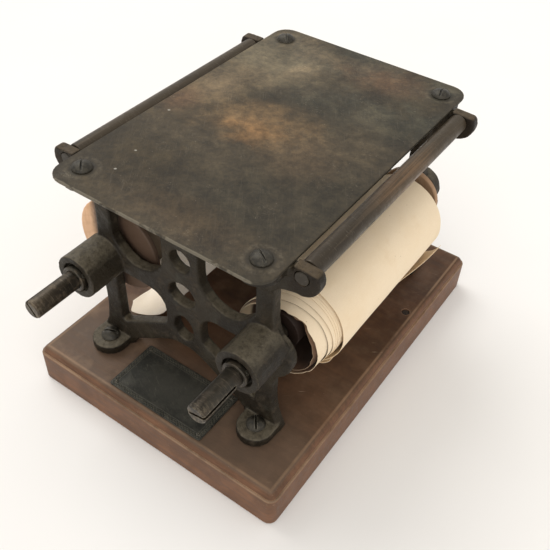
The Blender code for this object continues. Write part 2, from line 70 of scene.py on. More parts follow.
# ---------------------------------------------------------------- node helper
class Nodes:
    """Short names for building one material's node tree."""

    def __init__(self, name):
        self.mat = bpy.data.materials.new(name)
        self.mat.use_nodes = True
        self.t = self.mat.node_tree
        self.t.nodes.clear()
        self.out = self.t.nodes.new("ShaderNodeOutputMaterial")
        self.bsdf = self.t.nodes.new("ShaderNodeBsdfPrincipled")
        self.t.links.new(self.bsdf.outputs[0], self.out.inputs[0])
        self.tc = self.t.nodes.new("ShaderNodeTexCoord")
        self.obj = self.tc.outputs["Object"]
        # object coordinates in millimetres
        self.mm = self.vmul(self.obj, (1000, 1000, 1000))
        sep = self.t.nodes.new("ShaderNodeSeparateXYZ")
        self.t.links.new(self.mm, sep.inputs[0])
        self.x, self.y, self.z = sep.outputs
        geo = self.t.nodes.new("ShaderNodeNewGeometry")
        self.geo = geo
        tn = self.t.nodes.new("ShaderNodeSeparateXYZ")
        self.t.links.new(self.tc.outputs["Normal"], tn.inputs[0])
        self.nx, self.ny, self.nz = tn.outputs

    def put(self, socket, value):
        if isinstance(value, bpy.types.NodeSocket):
            self.t.links.new(value, socket)
        elif isinstance(value, (tuple, list)) and socket.type == "RGBA":
            socket.default_value = (*value, 1.0) if len(value) == 3 else value
        else:
            socket.default_value = value

    def math(self, op, a, b=0.0, c=0.0, clamp=False):
        n = self.t.nodes.new("ShaderNodeMath")
        n.operation = op
        n.use_clamp = clamp
        for i, v in enumerate((a, b, c)):
            self.put(n.inputs[i], v)
        return n.outputs[0]

    def add(self, a, b):
        return self.math("ADD", a, b)

    def sub(self, a, b):
        return self.math("SUBTRACT", a, b)

    def mul(self, a, b, clamp=False):
        return self.math("MULTIPLY", a, b, clamp=clamp)

    def vmul(self, v, k):
        n = self.t.nodes.new("ShaderNodeVectorMath")
        n.operation = "MULTIPLY"
        self.put(n.inputs[0], v)
        n.inputs[1].default_value = k
        return n.outputs[0]

    def scaled(self, color, k):
        return self.vmul(color, (k, k, k)) if not isinstance(k, tuple) else self.vmul(color, k)

    def vadd(self, v, k):
        n = self.t.nodes.new("ShaderNodeVectorMath")
        n.operation = "ADD"
        self.put(n.inputs[0], v)
        self.put(n.inputs[1], k)
        return n.outputs[0]

    def combine(self, x, y, z):
        n = self.t.nodes.new("ShaderNodeCombineXYZ")
        for i, v in enumerate((x, y, z)):
            self.put(n.inputs[i], v)
        return n.outputs[0]

    def rot(self, v, angle, axis=(0, 0, 1)):
        n = self.t.nodes.new("ShaderNodeVectorRotate")
        n.rotation_type = "AXIS_ANGLE"
        self.put(n.inputs["Vector"], v)
        n.inputs["Axis"].default_value = axis
        n.inputs["Angle"].default_value = angle
        return n.outputs[0]

    def ramp(self, v, lo, hi, a=0.0, b=1.0, smooth=True):
        n = self.t.nodes.new("ShaderNodeMapRange")
        n.interpolation_type = "SMOOTHSTEP" if smooth else "LINEAR"
        n.clamp = True
        self.put(n.inputs[0], v)
        for i, k in enumerate((lo, hi, a, b)):
            n.inputs[i + 1].default_value = k
        return n.outputs[0]

    def noise(self, scale, detail=4.0, rough=0.55, v=None, distort=0.0, off=0.0):
        n = self.t.nodes.new("ShaderNodeTexNoise")
        v = self.mm if v is None else v
        if off:
            v = self.vadd(v, (off, off * 1.7, off * 2.3))
        self.put(n.inputs["Vector"], v)
        n.inputs["Scale"].default_value = scale
        n.inputs["Detail"].default_value = detail
        n.inputs["Roughness"].default_value = rough
        n.inputs["Distortion"].default_value = distort
        return n.outputs[0]

    def voronoi(self, scale, v=None, feature="F1", off=0.0):
        n = self.t.nodes.new("ShaderNodeTexVoronoi")
        n.feature = feature
        v = self.mm if v is None else v
        if off:
            v = self.vadd(v, (off, off * 1.7, off * 2.3))
        self.put(n.inputs["Vector"], v)
        n.inputs["Scale"].default_value = scale
        return n.outputs["Distance"]

    def mix(self, fac, a, b, mode="MIX"):
        n = self.t.nodes.new("ShaderNodeMix")
        n.data_type = "RGBA"
        n.blend_type = mode
        n.clamp_factor = True
        self.put(n.inputs["Factor"], fac)
        self.put(n.inputs[6], a)
        self.put(n.inputs[7], b)
        return n.outputs[2]

    def blob(self, x, y, rx, ry, turn=0.0, wobble=None, soft=(0.35, 1.0), px=None, py=None):
        """1 inside an ellipse at (x, y), fading to 0 at its rim."""
        px = self.x if px is None else px
        py = self.y if py is None else py
        dx, dy = self.sub(px, x), self.sub(py, y)
        c, s = math.cos(turn), math.sin(turn)
        u = self.add(self.mul(dx, c / rx), self.mul(dy, s / rx))
        w = self.add(self.mul(dx, -s / ry), self.mul(dy, c / ry))
        d = self.math("SQRT", self.add(self.mul(u, u), self.mul(w, w)))
        if wobble is not None:
            d = self.add(d, wobble)
        return self.ramp(d, soft[0], soft[1], 1.0, 0.0)

    def bump(self, height, strength=1.0, distance=0.001, normal=None):
        n = self.t.nodes.new("ShaderNodeBump")
        n.inputs["Strength"].default_value = strength
        n.inputs["Distance"].default_value = distance
        self.put(n.inputs["Height"], height)
        if normal is not None:
            self.put(n.inputs["Normal"], normal)
        return n.outputs[0]

    def edge(self, radius, lo=0.02, hi=0.25):
        """1 on sharp edges, from how far the rounded normal leans from the true one."""
        b = self.t.nodes.new("ShaderNodeBevel")
        b.samples = 6
        b.inputs["Radius"].default_value = radius
        d = self.t.nodes.new("ShaderNodeVectorMath")
        d.operation = "DOT_PRODUCT"
        self.put(d.inputs[0], b.outputs[0])
        self.put(d.inputs[1], self.geo.outputs["True Normal"])
        lean = self.sub(1.0, d.outputs["Value"])
        return self.ramp(lean, lo, hi)

    def crevice(self, distance, lo=0.35, hi=0.95):
        """0 in corners and 1 in the open."""
        a = self.t.nodes.new("ShaderNodeAmbientOcclusion")
        a.samples = 6
        a.inputs["Distance"].default_value = distance
        return self.ramp(a.outputs["AO"], lo, hi)

    def finish(self, color, rough, normal=None, metallic=0.0, specular=0.5, **more):
        self.put(self.bsdf.inputs["Base Color"], color)
        self.put(self.bsdf.inputs["Roughness"], rough)
        self.put(self.bsdf.inputs["Metallic"], metallic)
        self.bsdf.inputs["Specular IOR Level"].default_value = specular
        if normal is not None:
            self.put(self.bsdf.inputs["Normal"], normal)
        for k, v in more.items():
            self.bsdf.inputs[k.replace("_", " ")].default_value = v
        return self.mat


# ---------------------------------------------------------------- materials
def bed_iron():
    n = Nodes("bed_iron")
    big = n.noise(0.012, 3, 0.5, distort=0.4)
    mid = n.noise(0.045, 5, 0.6, off=31)
    fine = n.noise(0.35, 5, 0.65, off=7)
    grit = n.noise(1.6, 4, 0.7, off=11)
    warp = n.mul(n.sub(mid, 0.5), 0.9)
    dark, grey = (0.036, 0.031, 0.022), (0.062, 0.050, 0.034)
    base = n.mix(n.ramp(big, 0.35, 0.65), dark, grey)
    base = n.mix(n.mul(n.blob(-52, 74, 52, 50, 0.2, warp, (0.2, 1.15)), 0.95), base, (0.195, 0.158, 0.108))
    base = n.mix(n.mul(n.blob(-62, 20, 40, 75, 0.0, warp, (0.2, 1.15)), 0.55), base, (0.118, 0.090, 0.056))
    base = n.mix(n.mul(n.blob(-10, 56, 55, 16, 0.22, warp, (0.1, 1.1)), 0.7), base, (0.088, 0.074, 0.052))
    base = n.mix(n.mul(n.blob(22, 96, 40, 24, -0.1, warp, (0.1, 1.1)), 0.75), base, (0.120, 0.074, 0.046))
    base = n.mix(n.mul(n.blob(58, 62, 22, 40, -0.1, warp, (0.1, 1.1)), 0.45), base, (0.056, 0.049, 0.032))
    base = n.mix(n.mul(n.blob(10, -100, 62, 20, 0.05, warp, (0.2, 1.1)), 0.5), base, (0.072, 0.050, 0.033))
    base = n.mix(n.mul(n.blob(45, -52, 52, 60, 0.1, warp, (0.2, 1.15)), 0.70), base, (0.028, 0.0255, 0.0185))
    base = n.mix(n.mul(n.blob(-45, -78, 48, 36, 0.1, warp, (0.2, 1.15)), 0.8), base, (0.037, 0.0285, 0.0165))
    rust = n.blob(-16, -2, 54, 34, 0.25, n.mul(n.sub(mid, 0.5), 1.4), (0.05, 1.05))
    base = n.mix(n.mul(rust, 0.74), base, (0.205, 0.134, 0.070))
    hot = n.blob(-8, -10, 30, 19, 0.35, n.mul(n.sub(n.noise(0.09, 4, 0.6, off=3), 0.5), 1.8), (0.0, 1.0))
    base = n.mix(n.mul(hot, 0.50), base, (0.285, 0.160, 0.074))
    freckle = n.mul(n.mul(hot, n.ramp(n.voronoi(0.55, off=35), 0.08, 0.22, 1.0, 0.0)), n.ramp(n.noise(0.2, 3, 0.6, off=39), 0.42, 0.55))
    base = n.mix(n.mul(freckle, 0.55), base, (0.060, 0.030, 0.014))
    # cooler grey-green skin towards the back
    cool = n.mul(n.ramp(n.y, 10, 70), n.ramp(n.noise(0.022, 4, 0.6, off=47), 0.44, 0.60))
    base = n.mix(n.mul(cool, 0.40), base, (0.074, 0.078, 0.062))
    tan = n.blob(-68, -8, 16, 22, 0.0, warp, (0.1, 1.1))
    base = n.mix(n.mul(tan, 0.5), base, (0.165, 0.092, 0.054))
    base = n.mix(n.mul(n.blob(-40, -112, 60, 16, -0.1, warp, (0.1, 1.1)), 0.4), base, (0.040, 0.031, 0.019))
    base = n.mix(n.mul(n.blob(30, -18, 30, 34, 0.1, warp, (0.1, 1.1)), 0.55), base, (0.125, 0.088, 0.054))
    base = n.mix(n.mul(n.blob(-60, 24, 20, 34, 0.1, warp, (0.1, 1.1)), 0.5), base, (0.200, 0.152, 0.100))
    base = n.mix(n.mul(n.blob(0, -97, 58, 20, 0.0, warp, (0.1, 1.1)), 0.55), base, (0.038, 0.0275, 0.0150))
    base = n.mix(n.mul(n.blob(50, -60, 18, 26, 0.0, warp, (0.1, 1.1)), 0.45), base, (0.052, 0.043, 0.030))
    # mottled skin at several sizes
    for scale, off, lo, hi in ((0.030, 101, 0.80, 1.22), (0.085, 113, 0.84, 1.17), (0.20, 127, 0.87, 1.13), (0.55, 133, 0.91, 1.10)):
        m = n.ramp(n.noise(scale, 4, 0.6, off=off, distort=0.5), 0.38, 0.62)
        base = n.mix(m, n.scaled(base, lo), n.scaled(base, (hi, hi * 0.985, hi * 0.95)))
    base = n.mix(n.ramp(fine, 0.35, 0.75, 0.0, 0.14), base, n.mix(0.5, base, (0.17, 0.14, 0.10)))
    base = n.mix(n.ramp(fine, 0.5, 0.2, 0.0, 0.25), base, n.mix(0.6, base, (0.01, 0.01, 0.008)))
    # rubbed marks that run down to the right
    run = n.rot(n.mm, math.radians(57))
    streak = n.noise(0.55, 4, 0.6, v=n.vmul(run, (0.10, 1.0, 1.0)))
    thin = n.noise(1.3, 3, 0.6, v=n.vmul(run, (0.05, 1.0, 1.0)), off=19)
    where = n.ramp(n.noise(0.03, 2, 0.5, off=53), 0.42, 0.62)
    marks = n.mul(n.ramp(thin, 0.60, 0.70), where)
    base = n.mix(n.mul(n.ramp(streak, 0.52, 0.72), 0.07), base, (0.20, 0.165, 0.115))
    base = n.mix(n.mul(marks, 0.08), base, (0.28, 0.24, 0.175))
    dark_run = n.ramp(n.noise(1.0, 3, 0.6, v=n.vmul(run, (0.06, 1.0, 1.0)), off=77), 0.63, 0.74)
    base = n.mix(n.mul(dark_run, 0.22), base, (0.025, 0.021, 0.015))
    # pits and pale specks
    pits = n.ramp(n.voronoi(0.42, off=5), 0.05, 0.16, 1.0, 0.0)
    pits = n.mul(pits, n.ramp(n.noise(0.06, 2, 0.5, off=91), 0.48, 0.6))
    base = n.mix(n.mul(pits, 0.5), base, (0.024, 0.018, 0.012))
    specks = n.mul(n.ramp(n.voronoi(0.22, off=15), 0.03, 0.075, 1.0, 0.0), n.ramp(n.noise(0.05, 2, 0.5, off=17), 0.5, 0.58))
    base = n.mix(n.mul(specks, 0.42), base, (0.34, 0.30, 0.235))
    flecks = n.mul(n.ramp(n.voronoi(0.5, off=57), 0.02, 0.07, 1.0, 0.0), n.ramp(n.noise(0.035, 3, 0.6, off=59), 0.47, 0.58))
    base = n.mix(n.mul(flecks, 0.5), base, (0.34, 0.30, 0.23))
    # short curled scrapes
    curl = n.noise(0.16, 3, 0.5, off=71, distort=1.6)
    scrape = n.ramp(n.math("ABSOLUTE", n.sub(curl, 0.5)), 0.0, 0.008, 1.0, 0.0)
    scrape = n.mul(n.mul(scrape, n.ramp(n.noise(0.05, 3, 0.6, off=73), 0.55, 0.62)), n.ramp(fine, 0.42, 0.55))
    base = n.mix(n.mul(scrape, 0.45), base, (0.30, 0.26, 0.19))
    grime = n.mul(n.ramp(n.noise(0.10, 5, 0.7, off=65, distort=0.6), 0.53, 0.62), n.ramp(n.noise(0.025, 3, 0.5, off=67), 0.42, 0.60))
    base = n.mix(n.mul(grime, 0.35), base, n.scaled(base, 0.55))
    for x, y, r in ((-65, -24.5, 1.3), (-51, -70, 1.1), (-47.5, -90.5, 1.2)):
        base = n.mix(n.mul(n.blob(x, y, r, r * 0.8, 0.4, n.mul(n.sub(grit, 0.5), 0.7), (0.3, 1.0)), 0.75), base, (0.46, 0.44, 0.38))
    # worn edge: distance in from the outline of the plate. Below it, the side faces get painted shade, and the front
    # edge gets wear and a painted highlight.
    ax, ay = n.math("ABSOLUTE", n.x), n.math("ABSOLUTE", n.y)
    qx, qy = n.math("MAXIMUM", n.sub(ax, 64.5), 0.0), n.math("MAXIMUM", n.sub(ay, 106.5), 0.0)
    inside = n.sub(11.5, n.math("SQRT", n.add(n.mul(qx, qx), n.mul(qy, qy))))
    straight = n.math("MINIMUM", n.sub(76.0, ax), n.sub(118.0, ay))
    inset = n.math("MINIMUM", inside, straight)
    chip = n.noise(0.22, 4, 0.65, off=41)
    rim = n.ramp(n.add(inset, n.mul(n.sub(chip, 0.5), 2.0)), -0.15, 0.6, 1.0, 0.0)
    base = n.mix(n.mul(rim, 0.30), base, (0.12, 0.10, 0.07))
    # painted shade: the plate's side faces are painted darker
    flank_shade = n.ramp(n.math("ABSOLUTE", n.nz), 0.6, 0.25)
    base = n.mix(n.mul(flank_shade, 0.8), base, (0.034, 0.029, 0.021))
    # the front edge is lighter, partly wear and partly a painted highlight along the plate's front arris
    front_wear_highlight = n.mul(n.ramp(n.y, -113.5, -117.3), n.ramp(n.noise(0.12, 3, 0.6, off=61), 0.40, 0.52))
    front_wear_highlight = n.mul(front_wear_highlight, n.ramp(n.add(n.sub(n.y, -117.6), n.mul(n.sub(chip, 0.5), 1.2)), 0.1, 0.7, 1.0, 0.0))
    base = n.mix(n.mul(front_wear_highlight, 0.6), base, (0.20, 0.175, 0.13))
    corner = n.mul(n.blob(-64, -111, 13, 5, 0.5, n.mul(n.sub(chip, 0.5), 2.2), (0.1, 0.9)), n.ramp(grit, 0.5, 0.62))
    base = n.mix(n.mul(corner, 0.55), base, (0.30, 0.27, 0.21))
    # dark ring and worn halo round each screw
    sx, sy = n.sub(ax, 62.5), n.sub(ay, 101.4)
    d = n.math("SQRT", n.add(n.mul(sx, sx), n.mul(sy, sy)))
    ring = n.mul(n.ramp(d, 6.2, 9.4, 1.0, 0.0), 0.6)
    base = n.mix(ring, base, (0.028, 0.026, 0.021))
    halo = n.mul(n.ramp(n.math("ABSOLUTE", n.sub(d, 10.0)), 0.0, 2.6, 1.0, 0.0), n.ramp(fine, 0.4, 0.62))
    base = n.mix(n.mul(halo, 0.3), base, (0.17, 0.145, 0.105))
    rough = n.add(n.ramp(fine, 0.3, 0.7, 0.46, 0.62), n.mul(hot, 0.12))
    rough = n.sub(rough, n.mul(marks, 0.1))
    height = n.add(n.mul(mid, 0.9), n.add(n.mul(fine, 0.28), n.mul(grit, 0.08)))
    height = n.sub(height, n.add(n.mul(pits, 0.12), n.add(n.mul(marks, 0.05), n.mul(dark_run, 0.06))))
    return n.finish(base, rough, n.bump(height, 0.6, 0.0010), 0.1, 0.22)


def cast_iron():
    n = Nodes("cast_iron")
    big = n.noise(0.03, 3, 0.55)
    mid = n.noise(0.16, 5, 0.6, off=13)
    grain = n.noise(0.9, 4, 0.7, off=21)
    base = n.mix(n.ramp(big, 0.35, 0.68), (0.0125, 0.0090, 0.0050), (0.027, 0.0208, 0.0122))
    base = n.mix(n.mul(n.ramp(mid, 0.52, 0.72), 0.55), base, (0.062, 0.046, 0.030))
    base = n.mix(n.mul(n.ramp(grain, 0.55, 0.70), 0.30), base, (0.075, 0.064, 0.046))
    base = n.mix(n.mul(n.ramp(n.noise(0.07, 4, 0.6, off=37), 0.55, 0.75), 0.4), base, (0.048, 0.050, 0.038))
    # dust on faces that look up
    up = n.mul(n.ramp(n.nz, 0.45, 0.95), n.ramp(n.noise(0.30, 5, 0.7, off=3), 0.28, 0.60, 0.35, 1.0))
    base = n.mix(n.mul(up, 0.78), base, (0.142, 0.120, 0.083))
    ear = n.mul(n.ramp(n.math("ABSOLUTE", n.x), 74, 79), n.ramp(n.z, 156, 163))
    base = n.mix(ear, base, n.scaled(base, (0.66, 0.56, 0.46)))
    edge = n.edge(0.0011, 0.03, 0.22)
    open_ = n.crevice(0.004, 0.55, 0.95)
    worn = n.mul(n.mul(edge, open_), n.ramp(n.noise(0.13, 4, 0.65, off=5), 0.36, 0.62))
    base = n.mix(n.mul(worn, 0.75), base, (0.19, 0.160, 0.112))
    chips = n.mul(n.ramp(n.voronoi(0.45, off=9), 0.02, 0.10, 1.0, 0.0), n.ramp(n.noise(0.1, 2, 0.5, off=71), 0.52, 0.62))
    base = n.mix(n.mul(chips, 0.75), base, (0.28, 0.25, 0.19))
    pin = n.ramp(n.voronoi(1.1, off=83), 0.02, 0.10, 1.0, 0.0)
    pin = n.mul(pin, n.ramp(n.noise(0.22, 3, 0.6, off=87), 0.50, 0.60))
    base = n.mix(n.mul(pin, 0.45), base, (0.20, 0.175, 0.13))
    pock = n.mul(n.ramp(n.voronoi(0.6, off=93), 0.05, 0.20, 1.0, 0.0), n.ramp(n.noise(0.15, 3, 0.6, off=97), 0.50, 0.60))
    base = n.mix(n.mul(pock, 0.6), base, n.scaled(base, 0.4))
    pits = n.ramp(n.voronoi(0.85, off=25), 0.06, 0.26, 1.0, 0.0)
    pits = n.mul(pits, n.ramp(mid, 0.42, 0.58))
    base = n.mix(n.mul(pits, 0.5), base, (0.008, 0.0075, 0.006))
    rough = n.ramp(mid, 0.3, 0.7, 0.42, 0.62)
    height = n.add(n.mul(mid, 0.75), n.mul(grain, 0.22))
    height = n.sub(height, n.mul(pits, 0.25))
    return n.finish(base, rough, n.bump(height, 0.9, 0.0016), 0.0, 0.22)


def shaft_steel():
    n = Nodes("shaft_steel")
    band = n.noise(0.10, 4, 0.6, v=n.vmul(n.mm, (1.0, 0.35, 1.0)))
    mid = n.noise(0.25, 5, 0.65, off=17)
    fine = n.noise(1.4, 4, 0.7, off=29)
    base = n.mix(n.ramp(band, 0.35, 0.65), (0.015, 0.0115, 0.0075), (0.044, 0.033, 0.021))
    base = n.mix(n.mul(n.ramp(mid, 0.5, 0.7), 0.5), base, (0.14, 0.105, 0.07))
    base = n.mix(n.mul(n.ramp(n.noise(0.05, 3, 0.5, off=43), 0.52, 0.64), 0.35), base, (0.030, 0.032, 0.026))
    turned = n.noise(1.0, 3, 0.6, v=n.vmul(n.mm, (0.12, 1.6, 0.12)), off=51)
    base = n.mix(n.mul(n.ramp(turned, 0.55, 0.7), 0.35), base, (0.22, 0.18, 0.125))
    base = n.mix(n.ramp(n.x, 20, -20), base, n.scaled(base, 1.3))
    # painted shade: the shaft is painted darker in corners and where it meets other parts
    base = n.mix(n.crevice(0.003, 0.3, 0.85), n.scaled(base, 0.25), base)
    tip = n.mul(n.ramp(n.y, -149.0, -154.5), n.ramp(n.noise(0.5, 4, 0.65, off=63), 0.48, 0.58))
    base = n.mix(n.mul(tip, 0.30), base, (0.26, 0.21, 0.14))
    edge = n.mul(n.edge(0.0007, 0.03, 0.22), n.ramp(n.noise(0.4, 3, 0.6, off=2), 0.34, 0.55))
    base = n.mix(n.mul(edge, 0.9), base, (0.46, 0.40, 0.30))
    chips = n.mul(n.ramp(n.voronoi(0.5, off=19), 0.02, 0.11, 1.0, 0.0), n.ramp(n.noise(0.09, 2, 0.5, off=23), 0.5, 0.6))
    base = n.mix(n.mul(chips, 0.7), base, (0.4, 0.34, 0.26))
    rough = n.ramp(mid, 0.3, 0.7, 0.32, 0.52)
    height = n.add(n.mul(mid, 0.5), n.add(n.mul(fine, 0.12), n.mul(turned, 0.15)))
    return n.finish(base, rough, n.bump(height, 0.55, 0.0007), 0.5, 0.5)


def rod_steel():
    n = Nodes("rod_steel")
    band = n.noise(0.06, 4, 0.6, v=n.vmul(n.mm, (1.0, 0.25, 1.0)))
    mid = n.noise(0.25, 5, 0.65, off=17)
    fine = n.noise(1.2, 4, 0.7, off=29)
    base = n.mix(n.ramp(band, 0.35, 0.65), (0.029, 0.0205, 0.0115), (0.054, 0.039, 0.022))
    # long worn stripe along the top of the rod, copper coloured in the middle of its length
    stripe = n.noise(0.35, 4, 0.6, v=n.vmul(n.mm, (1.6, 0.05, 1.6)), off=61)
    worn = n.ramp(stripe, 0.50, 0.64)
    base = n.mix(n.mul(worn, 0.28), base, (0.125, 0.092, 0.058))
    copper = n.mul(n.blob(86.0, 12, 9.0, 46, 0.0, n.mul(n.sub(band, 0.5), 1.2), (0.2, 1.1)), n.ramp(stripe, 0.36, 0.60, 0.35, 1.0))
    base = n.mix(n.mul(copper, 0.42), base, (0.27, 0.150, 0.072))
    ends = n.ramp(n.math("ABSOLUTE", n.y), 87.6, 88.2)
    base = n.mix(ends, base, (0.030, 0.0235, 0.0155))
    scratch = n.ramp(n.noise(1.0, 3, 0.6, v=n.vmul(n.mm, (0.25, 1.8, 0.25)), off=51), 0.60, 0.72)
    base = n.mix(n.mul(scratch, 0.3), base, (0.25, 0.22, 0.17))
    edge = n.mul(n.edge(0.0007, 0.03, 0.22), n.ramp(n.noise(0.4, 3, 0.6, off=2), 0.34, 0.55))
    base = n.mix(n.mul(edge, 0.8), base, (0.36, 0.32, 0.25))
    rough = n.ramp(mid, 0.3, 0.7, 0.34, 0.55)
    height = n.add(n.mul(mid, 0.55), n.mul(fine, 0.12))
    return n.finish(base, rough, n.bump(height, 0.5, 0.0007), 0.2, 0.4)


def screw_steel():
    n = Nodes("screw_steel")
    mid = n.noise(0.5, 5, 0.65, off=17)
    fine = n.noise(2.2, 4, 0.7, off=29)
    base = n.mix(n.ramp(mid, 0.35, 0.65), (0.020, 0.0175, 0.0125), (0.052, 0.045, 0.032))
    edge = n.mul(n.edge(0.0006, 0.03, 0.2), n.ramp(n.noise(0.5, 3, 0.6, off=2), 0.30, 0.5))
    base = n.mix(n.mul(edge, 0.85), base, (0.28, 0.255, 0.20))
    chips = n.mul(n.ramp(n.voronoi(0.7, off=19), 0.02, 0.12, 1.0, 0.0), n.ramp(n.noise(0.2, 2, 0.5, off=23), 0.5, 0.6))
    base = n.mix(n.mul(chips, 0.6), base, (0.33, 0.30, 0.23))
    rough = n.ramp(mid, 0.3, 0.7, 0.36, 0.56)
    height = n.add(n.mul(mid, 0.6), n.mul(fine, 0.15))
    return n.finish(base, rough, n.bump(height, 0.6, 0.0006), 0.4, 0.5)


def label_metal():
    n = Nodes("label_metal")
    lo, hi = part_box("label_plate")
    cx, cy = (lo.x + hi.x) * 500, (lo.y + hi.y) * 500
    hx, hy = (hi.x - lo.x) * 500, (hi.y - lo.y) * 500
    mid = n.noise(0.12, 5, 0.65, off=17)
    fine = n.noise(0.9, 5, 0.7, off=29)
    base = n.mix(n.ramp(mid, 0.35, 0.65), (0.024, 0.0245, 0.0205), (0.066, 0.064, 0.052))
    base = n.mix(n.mul(n.blob(cx, cy, 34, 15, 0.1, n.mul(n.sub(mid, 0.5), 1.6), (0.1, 1.1)), 0.6), base, (0.098, 0.094, 0.078))
    # border of small slanted notches
    ax, ay = n.math("ABSOLUTE", n.sub(n.x, cx)), n.math("ABSOLUTE", n.sub(n.y, cy))
    inset = n.math("MINIMUM", n.sub(hx, ax), n.sub(hy, ay))
    band = n.mul(n.ramp(inset, 0.7, 1.0), n.ramp(inset, 3.4, 3.1))
    wave = n.math("SINE", n.mul(n.add(n.x, n.y), 2.6))
    notch = n.mul(band, n.ramp(wave, -0.15, 0.45))
    line = n.mul(n.ramp(inset, 3.5, 3.8), n.ramp(inset, 4.5, 4.2))
    base = n.mix(n.mul(notch, 0.5), base, (0.10, 0.092, 0.068))
    base = n.mix(n.mul(line, 0.45), base, (0.11, 0.103, 0.08))
    rub = n.ramp(n.noise(0.55, 5, 0.7, v=n.vmul(n.rot(n.mm, 0.5), (0.25, 1, 1)), off=7), 0.56, 0.68)
    base = n.mix(n.mul(rub, 0.4), base, (0.15, 0.14, 0.11))
    edge = n.mul(n.edge(0.0005, 0.03, 0.25), n.ramp(fine, 0.35, 0.5))
    base = n.mix(n.mul(edge, 0.6), base, (0.2, 0.185, 0.14))
    rough = n.ramp(fine, 0.3, 0.7, 0.35, 0.6)
    height = n.add(n.add(n.mul(notch, 0.5), n.mul(line, 0.4)), n.add(n.mul(fine, 0.25), n.mul(mid, 0.5)))
    return n.finish(base, rough, n.bump(height, 0.6, 0.0005), 0.45, 0.5)


